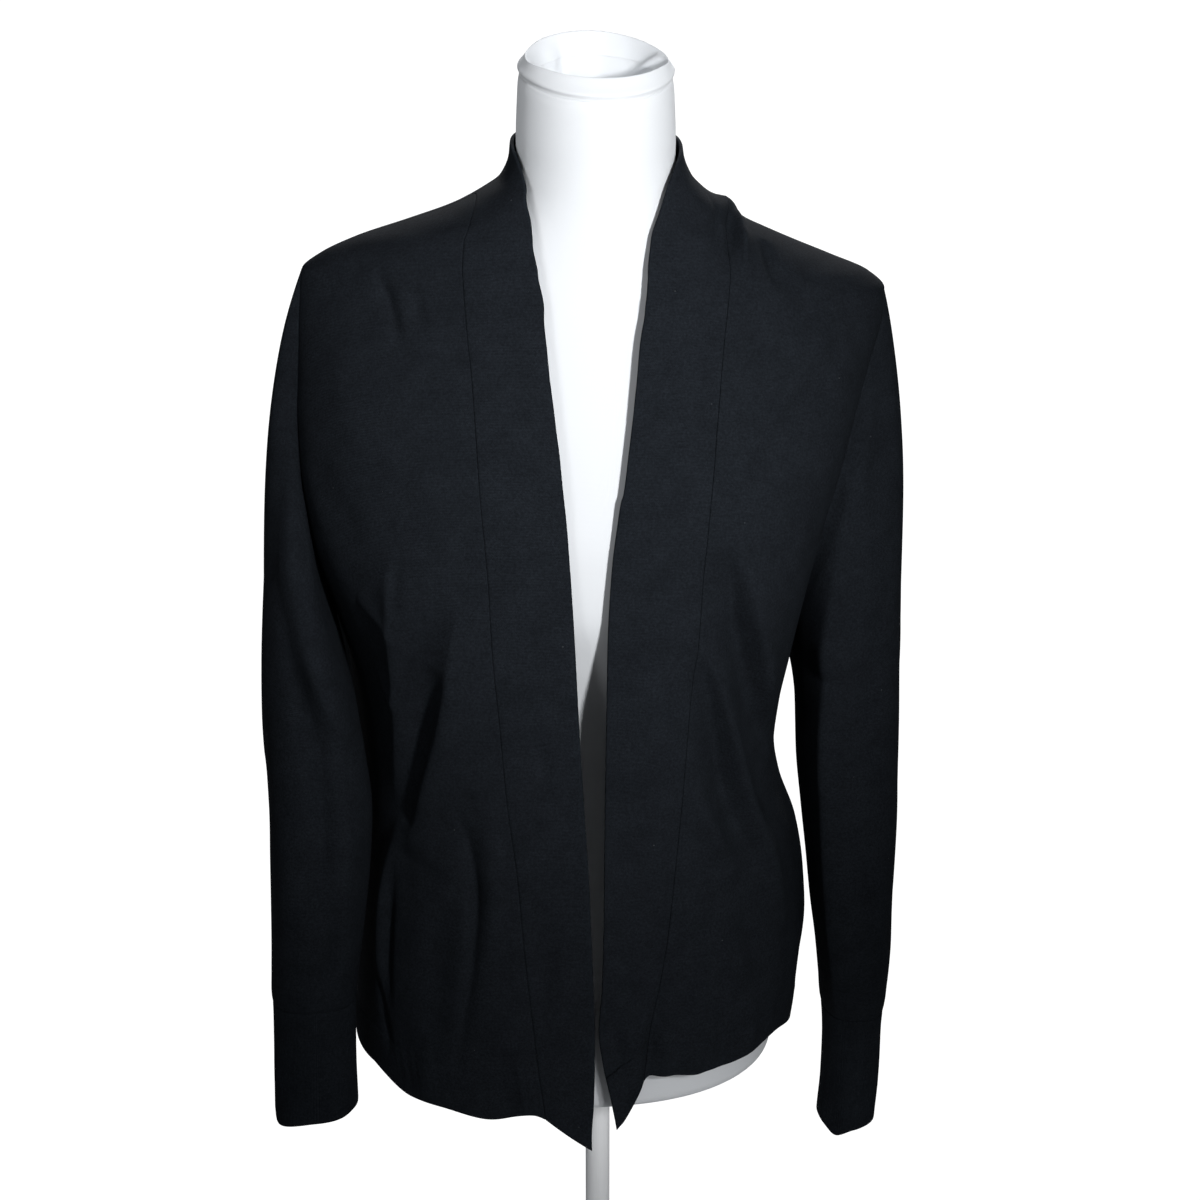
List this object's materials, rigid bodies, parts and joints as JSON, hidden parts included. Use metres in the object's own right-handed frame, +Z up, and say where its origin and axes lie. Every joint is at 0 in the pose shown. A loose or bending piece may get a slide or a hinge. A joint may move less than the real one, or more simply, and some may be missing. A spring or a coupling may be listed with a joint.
{
  "type": "cardigan on dress form",
  "caption": "Open-front long-sleeved fine-knit cardigan with wide bands, worn by a limbless dress form on a plain stand.",
  "frame": {"origin": "centre of the stand base's flat underside", "axes": "+Z up along the post, the garment's open front faces -Y, +X is to the right of someone who looks at the front"},
  "size_m": [0.4715, 0.3, 1.032],
  "materials": {
    "jersey": "matt fine-gauge jersey knit",
    "rib": "matt fine rib knit",
    "form_cover": "matt white stretch jersey",
    "stand": "satin white paint"
  },
  "bodies": {
    "root": {"back": "jersey", "front_left": "jersey", "front_right": "jersey", "sleeve_left": "jersey", "sleeve_right": "jersey", "band_left": "rib", "band_right": "rib", "cuff_left": "rib", "cuff_right": "rib", "dress_form": "form_cover", "neck_rim": "form_cover", "stand_collar": "stand", "stand_post": "stand", "stand_base": "stand"}
  },
  "joints": []
}
